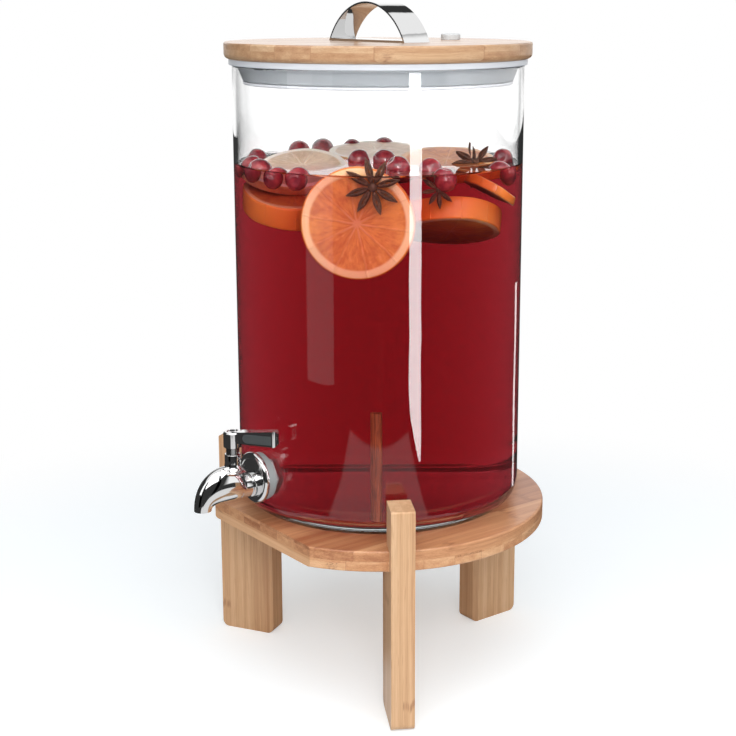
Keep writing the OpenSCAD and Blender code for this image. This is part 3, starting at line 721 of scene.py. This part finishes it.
def makeSlice(name, centre, normal, radius, thick, material, spin):
    bm = bmesh.new()
    edge = citrus["edge"]
    half = thick / 2
    outline = [(0, -half), (radius * 0.5, -half), (radius * 0.8, -half)]
    outline += arc((radius - edge, edge - half), edge, -90, 0, 4)
    outline += arc((radius - edge, half - edge), edge, 0, 90, 4)
    outline += [(radius * 0.8, half), (radius * 0.5, half), (0, half)]
    revolve(bm, outline, None, citrus["steps"])
    bmesh.ops.recalc_face_normals(bm, faces=bm.faces)
    layer = bm.loops.layers.uv.new("slice")
    for face in bm.faces:
        for loop in face.loops:
            loop[layer].uv = (loop.vert.co.x / radius, loop.vert.co.y / radius)
    for vert in bm.verts:                          # cut by hand, so neither flat nor quite round
        bend = noise.noise(vert.co * 40 + Vector(centre) * 100)
        vert.co.z += bend * citrus["warp"]
        vert.co.xy *= 1 + citrus["uneven"] * noise.noise(vert.co * 22)
    bmesh.ops.transform(bm, matrix=placing(centre, normal, spin), verts=bm.verts)
    makePiece(name, bm, [material], sharp=50)


def makeSlices():
    kinds = {"fresh": citrusFinish("orange_slice", fresh), "pale": citrusFinish("pale_slice", pale)}
    for count, (name, centre, normal, radius, thick, kind) in enumerate(slices):
        makeSlice(name, centre, normal, radius, thick, kinds[kind], 0.5 + count)


# Cranberries

# middles, measured from the jar's axis
berries = [(-0.060, -0.060, 0.3575), (-0.016, -0.084, 0.3555), (0.007, -0.0855, 0.3530),
           (0.026, -0.082, 0.3540), (-0.084, -0.009, 0.3580), (-0.084, 0.012, 0.3580),
           (-0.073, 0.031, 0.3580), (-0.010, -0.009, 0.3580), (0.004, 0.002, 0.3580),
           (0.043, -0.016, 0.3575), (0.058, -0.002, 0.3570), (0.085, -0.013, 0.3540),
           (0.073, 0.044, 0.3530), (0.048, 0.071, 0.3580), (-0.036, -0.078, 0.3560),
           (-0.062, 0.052, 0.3580)]
berry = {"low": 0.0070, "high": 0.0083, "dimple": 0.16, "dimpleFrom": 0.86, "tall": 1.06, "uneven": 0.03}


def berryFinish():
    paint = Paint("cranberry")
    cloud = paint.grain(paint.placed(), 130.0, 3.0)
    fine = paint.grain(paint.placed(), 1500.0, 1.0)
    tones = [(0.25, tint(84, 16, 30)), (0.5, tint(130, 30, 42)), (0.75, tint(174, 60, 62))]
    return paint.finish(paint.surface(Base_Color=paint.ramp(cloud, tones), Roughness=0.16 + fine * 0.1,
                                      Subsurface_Weight=0.15, Subsurface_Radius=(0.003, 0.0006, 0.0006),
                                      Subsurface_Scale=1.0, Coat_Weight=0.6,
                                      Normal=paint.bump(cloud, 0.0004)))


def makeBerries():
    chance = random.Random(7)
    skin = berryFinish()
    for count, centre in enumerate(berries):
        size = chance.uniform(berry["low"], berry["high"])
        bm = bmesh.new()
        bmesh.ops.create_uvsphere(bm, u_segments=32, v_segments=24, radius=size)
        for vert in bm.verts:
            top = max(0.0, vert.co.z / size - berry["dimpleFrom"]) / (1 - berry["dimpleFrom"])
            vert.co.z -= size * berry["dimple"] * top ** 1.5
            vert.co.z *= berry["tall"]
            vert.co *= 1 + berry["uneven"] * noise.noise(vert.co * 160 + Vector((count, 0, 0)))
        facing = Vector((chance.uniform(-1, 1), chance.uniform(-1, 1), chance.uniform(-0.4, 1)))
        bmesh.ops.transform(bm, matrix=placing(centre, facing), verts=bm.verts)
        makePiece("berry_%02d" % count, bm, [skin])


# Star anise: eight boats round a hub, each open along its top over a polished seed

# shares of the star's radius
anise = {"arms": 8, "boat": 0.42, "width": 0.125, "depth": 0.17, "slit": 0.75, "hub": 0.16, "hubDepth": 0.14,
         "seedWidth": 0.055, "seedDepth": 0.085}
# name, middle from the jar's axis, direction it faces, radius
stars = [("anise_front", (0.0690, -0.0565, 0.3512), (0.70, -0.70, 0.16), 0.0190),
         ("anise_right", (0.0465, 0.0466, 0.3580), (0.62, -0.35, 0.70), 0.0165),
         ("anise_low", (0.0840, -0.0180, 0.3480), (0.93, -0.25, 0.2), 0.0120)]


def aniseFinish():
    paint = Paint("anise_husk")
    rough = paint.grain(paint.placed(), 700.0, 4.0, 0.7)
    colour = paint.ramp(rough, [(0.3, tint(40, 20, 12)), (0.55, tint(84, 44, 26)), (0.8, tint(128, 78, 48))])
    return paint.finish(paint.surface(Base_Color=colour, Roughness=0.62, Normal=paint.bump(rough, 0.0005)))


def seedFinish():
    paint = Paint("anise_seed")
    cloud = paint.grain(paint.placed(), 300.0, 2.0)
    colour = paint.ramp(cloud, [(0.3, tint(70, 30, 12)), (0.7, tint(130, 66, 30))])
    return paint.finish(paint.surface(Base_Color=colour, Roughness=0.15, Coat_Weight=0.5))


def addBlob(bm, scale, place, kind=0, shape=None):
    made = bmesh.ops.create_uvsphere(bm, u_segments=20, v_segments=14, radius=1.0)["verts"]
    for vert in made:
        if shape:
            shape(vert.co)
        vert.co = Vector((vert.co.x * scale[0], vert.co.y * scale[1], vert.co.z * scale[2]))
    bmesh.ops.transform(bm, matrix=place, verts=made)
    for face in {face for vert in made for face in vert.link_faces}:
        face.material_index = kind


def boatShape(point):
    taper = 1 - 0.75 * max(0.0, point.x) ** 2
    if point.z > 0:
        point.z -= anise["slit"] * math.exp(-(point.y / 0.34) ** 2) * (1 - point.x ** 2)
        point.z += 0.25 * max(0.0, point.x) ** 2
    point.y *= taper


def makeAnise():
    husk, seed = aniseFinish(), seedFinish()
    chance = random.Random(3)
    for name, centre, normal, size in stars:
        bm = bmesh.new()
        for arm in range(anise["arms"]):
            turn = Matrix.Rotation(2 * math.pi * arm / anise["arms"] + chance.uniform(-0.06, 0.06), 4, "Z")
            long = size * anise["boat"] * chance.uniform(0.82, 1.05)
            tilt = Matrix.Rotation(chance.uniform(-0.22, 0.05), 4, "Y")
            place = turn @ Matrix.Translation((size * 0.14 + long, 0, 0)) @ tilt
            addBlob(bm, (long, size * anise["width"], size * anise["depth"]), place, 0, boatShape)
            addBlob(bm, (long * 0.34, size * anise["seedWidth"], size * anise["seedDepth"]), place, 1)
        addBlob(bm, (size * anise["hub"], size * anise["hub"], size * anise["hubDepth"]), Matrix(), 0)
        bmesh.ops.transform(bm, matrix=placing(centre, normal, chance.uniform(0, 1)), verts=bm.verts)
        makePiece(name, bm, [husk, seed])


# Cinnamon: bark rolled in from both sides, standing on the base

cinnamon = {"x": 0.0640, "y": -0.0500, "bottom": 0.1305, "top": 0.2040, "radius": 0.0039, "bark": 0.0007,
            "turns": 1.35, "tighten": 0.6, "steps": 40, "levels": 14, "uneven": 0.05}


def cinnamonFinish():
    paint = Paint("cinnamon_bark")
    x, y, z = paint.split(paint.placed())
    stripes = paint.grain(paint.joined(x, y, z * 0.08), 900.0, 3.0, 0.6)
    tones = [(0.3, tint(96, 44, 20)), (0.55, tint(148, 78, 38)), (0.8, tint(186, 112, 62))]
    return paint.finish(paint.surface(Base_Color=paint.ramp(stripes, tones), Roughness=0.65,
                                      Normal=paint.bump(stripes, 0.0003)))


def barkScroll(side):                  # outer and inner points in turn, from the joint inwards
    columns = []
    for step in range(cinnamon["steps"] + 1):
        share = step / cinnamon["steps"]
        turn = side * share * cinnamon["turns"] * 2 * math.pi + math.pi / 2
        reach = cinnamon["radius"] * (0.98 - cinnamon["tighten"] * share)
        shift = side * cinnamon["radius"] * 0.45 * min(1.0, share * 4)
        for radius in (reach, reach - cinnamon["bark"]):
            columns.append((shift + radius * math.cos(turn), radius * math.sin(turn)))
    return columns


def makeCinnamon():
    bm = bmesh.new()
    for side in (-1, 1):
        columns = barkScroll(side)
        levels = []
        for level in range(cinnamon["levels"] + 1):
            share = level / cinnamon["levels"]
            height = cinnamon["bottom"] + (cinnamon["top"] - cinnamon["bottom"]) * share
            swell = 1 + cinnamon["uneven"] * noise.noise(Vector((0, side, share * 4)))
            middle = Vector((cinnamon["x"], cinnamon["y"] + axisY, height))
            levels.append([bm.verts.new(middle + Vector((x * swell, y * swell, 0))) for x, y in columns])
        count = len(columns)
        for low, high in zip(levels, levels[1:]):
            for first in range(0, count - 2, 2):
                bm.faces.new((low[first], low[first + 2], high[first + 2], high[first]))
                bm.faces.new((low[first + 3], low[first + 1], high[first + 1], high[first + 3]))
            bm.faces.new((low[1], low[0], high[0], high[1]))
            bm.faces.new((low[-2], low[-1], high[-1], high[-2]))
        for ends in (levels[0], levels[-1]):
            for first in range(0, count - 2, 2):
                bm.faces.new((ends[first], ends[first + 1], ends[first + 3], ends[first + 2]))
    makePiece("cinnamon", bm, [cinnamonFinish()], sharp=45)


makeDrink()
makeSlices()
makeBerries()
makeAnise()
makeCinnamon()
print("drink made")
